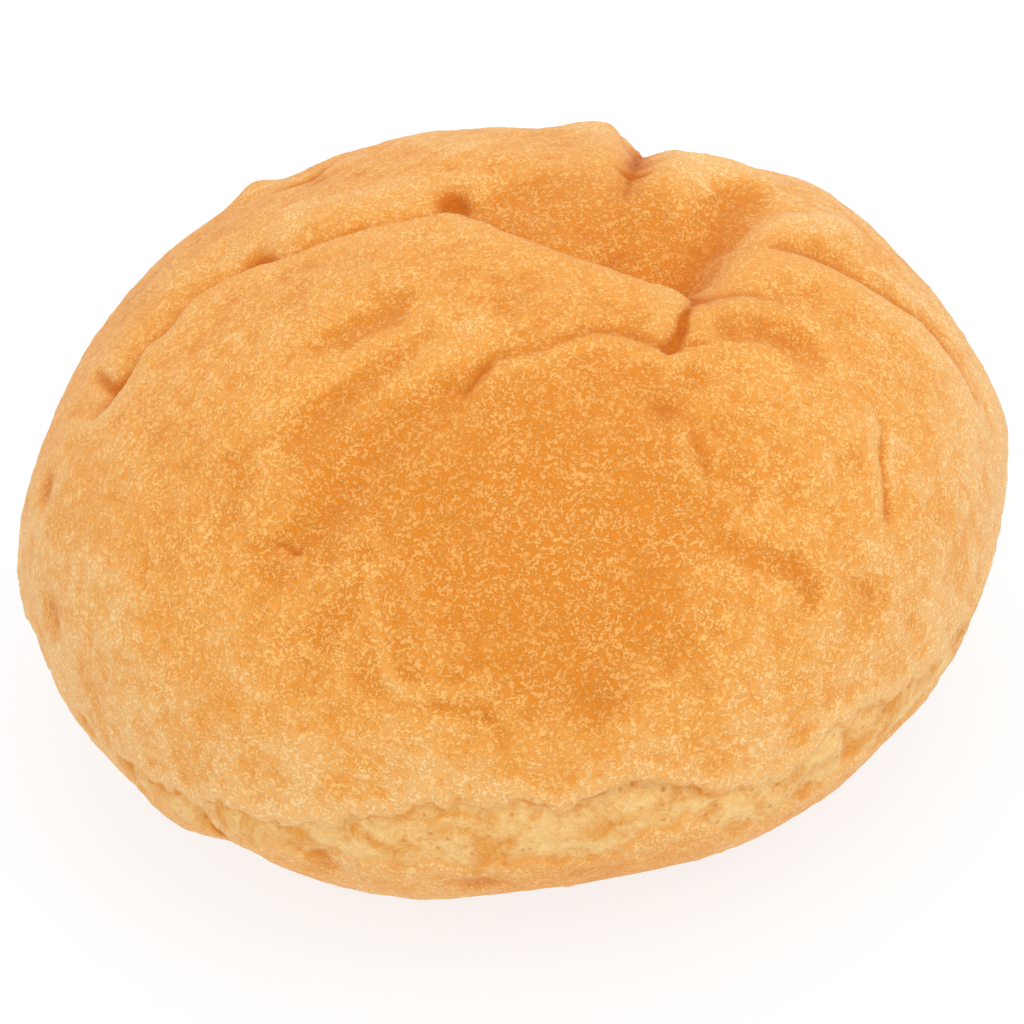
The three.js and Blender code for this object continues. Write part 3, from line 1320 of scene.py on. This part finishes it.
    def crust(self) -> tuple[Crust, Array]:
        """Shapes the crust.

        Returns:
            The shaped crust and the points of each of its faces.
        """
        directions, faces = ball(self.divisions, self.squash)
        crust = Crust(Dough.in_box(self.low, self.high), directions)
        crust.mark(Mark.BAKE, self.side_bake + self.dome_bake * smoothstep(crust.rise, *self.dome_span))
        crust.mark(Mark.BAKE, self.rim_bake * smoothstep(crust.rise, *self.rim_span))
        crust.mark(Mark.UNDER, smoothstep(crust.rise, *self.tray_span))
        for feature in (*self.swells(), *self.folds(), *self.bake_and_shade_patches(), self.tear()):
            feature.shape(crust)
        return crust, faces

    def build(self) -> bpy.types.Object:
        """Builds the roll as one mesh.

        Returns:
            The roll's object, which isn't dressed yet.
        """
        crust, faces = self.crust()
        mesh = bpy.data.meshes.new(NODE)
        mesh.from_pydata(crust.shaped() * MM, [], faces.tolist())
        for mark, values in crust.marks.items():
            attribute = mesh.attributes.new(mark.value, "FLOAT", "POINT")
            attribute.data.foreach_set("value", values.astype(np.float32))
        piece = bpy.data.objects.new(PIECE, mesh)
        bpy.context.scene.collection.objects.link(piece)
        return piece

    def dress(self, piece: bpy.types.Object) -> None:
        """Gives the roll its fine relief and its finish, and fits it to its box.

        Args:
            piece: The roll's object.
        """
        unbaked = piece.data
        piece.data = self.relief.applied(piece, self.finish.material())
        bpy.data.meshes.remove(unbaked)
        self.fit(piece.data)
        piece.data.shade_smooth()
        self.mark_sunken(piece.data)

    # The hollow and nick marks feed the painted shade in hollows and nicks and the painted highlight on
    # ridges.
    @staticmethod
    def mark_sunken(mesh: bpy.types.Mesh) -> None:
        """Marks how far each point lies below its surroundings, near and wide.

        Args:
            mesh: The finished mesh. Its new marks are in millimetres, negative on ridges.
        """
        points, normals = (np.empty(len(mesh.vertices) * 3) for _ in range(2))
        mesh.vertices.foreach_get("co", points)
        mesh.vertices.foreach_get("normal", normals)
        points, normals = points.reshape(-1, 3) / MM, normals.reshape(-1, 3)
        ends = np.empty(len(mesh.edges) * 2, dtype=np.int64)
        mesh.edges.foreach_get("vertices", ends)
        start, end = ends.reshape(-1, 2).T
        around = np.bincount(ends)
        smoothed, done = points, 0
        for mark, steps in sorted(SUNK_STEPS.items(), key=lambda item: item[1]):
            for _ in range(steps - done):
                columns = [
                    np.bincount(start, column[end], len(points))
                    + np.bincount(end, column[start], len(points))
                    for column in smoothed.T
                ]
                smoothed = np.stack(columns, axis=1) / around[:, None]
            done = steps
            sunk = np.einsum("ij,ij->i", smoothed - points, normals)
            attribute = mesh.attributes.new(mark.value, "FLOAT", "POINT")
            attribute.data.foreach_set("value", (sunk - np.median(sunk)).astype(np.float32))

    def fit(self, mesh: bpy.types.Mesh) -> None:
        """Moves and scales the mesh so that it stands on the tray and is as wide and deep as its box.

        Its height isn't scaled.

        Args:
            mesh: The finished mesh.
        """
        points = np.empty(len(mesh.vertices) * 3)
        mesh.vertices.foreach_get("co", points)
        points = points.reshape(-1, 3)
        lowest, highest = points.min(axis=0), points.max(axis=0)
        low, high = np.array(self.low), np.array(self.high)
        scale = (high - low) / (highest - lowest)
        scale[2] = 1.0
        LOG.info("fitting the crust to its box scales it by %s", np.round(scale, 4))
        fitted = (points - lowest) * scale + low
        mesh.vertices.foreach_set("co", fitted.ravel())
        mesh.update()


@dataclass(frozen=True)
class Lamp:
    """A soft square light that faces the roll. Metres and watts."""

    name: str
    place: Vector
    power: float
    side: float

    def hang(self) -> None:
        """Hangs the lamp."""
        light = bpy.data.lights.new(self.name, "AREA")
        light.energy = self.power
        light.size = self.side
        holder = bpy.data.objects.new(self.name, light)
        holder.location = self.place
        holder.rotation_mode = "QUATERNION"
        holder.rotation_quaternion = self.place.to_track_quat("Z", "Y")
        bpy.context.scene.collection.objects.link(holder)


@dataclass(frozen=True)
class Studio:
    """A pale floor, soft white light and the camera. Metres, degrees and a lens in millimetres."""

    aim: Vector = Vector((0.00005, -0.0026, 0.0275))
    distance: float = 0.490
    elevation: float = 36.0
    tilt: float = 5.5
    lens: float = 150.0
    nearest: float = 0.01
    white: Colour = (1.0, 1.0, 1.0)
    room_glow: float = 0.86
    floor_side: float = 12.0
    floor_drop: float = 0.0002
    floor_colour: Colour = (0.2, 0.2, 0.2)
    floor_glow: float = 0.8
    floor_roughness: float = 0.9
    floor_specular: float = 0.1
    lamps: tuple[Lamp, ...] = (
        Lamp("key", Vector((0.25, -0.45, 0.95)), 3.0, 0.7),
        Lamp("top", Vector((0.1, 0.5, 1.0)), 1.2, 0.8),
    )

    def floor_finish(self) -> bpy.types.Material:
        """Builds the floor's material.

        Returns:
            The material.
        """
        material = bpy.data.materials.new("floor")
        material.use_nodes = True
        shader = material.node_tree.nodes["Principled BSDF"]
        shader.inputs["Base Color"].default_value = (*self.floor_colour, 1.0)
        shader.inputs["Emission Color"].default_value = (*self.white, 1.0)
        shader.inputs["Emission Strength"].default_value = self.floor_glow
        shader.inputs["Roughness"].default_value = self.floor_roughness
        shader.inputs["Specular IOR Level"].default_value = self.floor_specular
        return material

    def floor(self) -> None:
        """Lays the floor."""
        half = self.floor_side / 2
        corners = [(-half, -half), (half, -half), (half, half), (-half, half)]
        mesh = bpy.data.meshes.new("floor")
        mesh.from_pydata([(x, y, -self.floor_drop) for x, y in corners], [], [(0, 1, 2, 3)])
        mesh.materials.append(self.floor_finish())
        floor = bpy.data.objects.new("floor", mesh)
        bpy.context.scene.collection.objects.link(floor)

    def light(self) -> None:
        """Hangs the soft lights and fills the room with white."""
        world = bpy.data.worlds.new("room")
        world.use_nodes = True
        background = world.node_tree.nodes["Background"]
        background.inputs["Color"].default_value = (*self.white, 1.0)
        background.inputs["Strength"].default_value = self.room_glow
        bpy.context.scene.world = world
        for lamp in self.lamps:
            lamp.hang()

    def camera(self) -> None:
        """Sets the camera up."""
        lift, turn = math.radians(self.elevation), math.radians(self.tilt)
        back = Vector((0.0, -math.cos(lift), math.sin(lift)))
        level = Vector((1.0, 0.0, 0.0))
        upright = Vector((0.0, math.sin(lift), math.cos(lift)))
        right = level * math.cos(turn) - upright * math.sin(turn)
        up = level * math.sin(turn) + upright * math.cos(turn)
        view = bpy.data.cameras.new("camera")
        view.lens = self.lens
        view.clip_start = self.nearest
        holder = bpy.data.objects.new("camera", view)
        turned = Matrix((right, up, back)).transposed().to_4x4()
        holder.matrix_world = Matrix.Translation(self.aim + back * self.distance) @ turned
        bpy.context.scene.collection.objects.link(holder)
        bpy.context.scene.camera = holder

    def build(self) -> None:
        """Sets the whole studio up."""
        self.floor()
        self.light()
        self.camera()
        bpy.context.scene.view_settings.view_transform = "Standard"


def main() -> None:
    """Builds the roll and its studio, and reports them."""
    logging.basicConfig(level=logging.INFO, format="%(name)s: %(message)s")
    Studio().build()
    LOG.info("studio is ready")
    roll = BreadRoll(*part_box(NODE))
    piece = roll.build()
    roll.dress(piece)
    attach(piece, "root")
    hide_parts(NODE)
    LOG.info("%s has %d points and %d faces", piece.name, len(piece.data.vertices),
             len(piece.data.polygons))


if __name__ == "__main__":
    main()
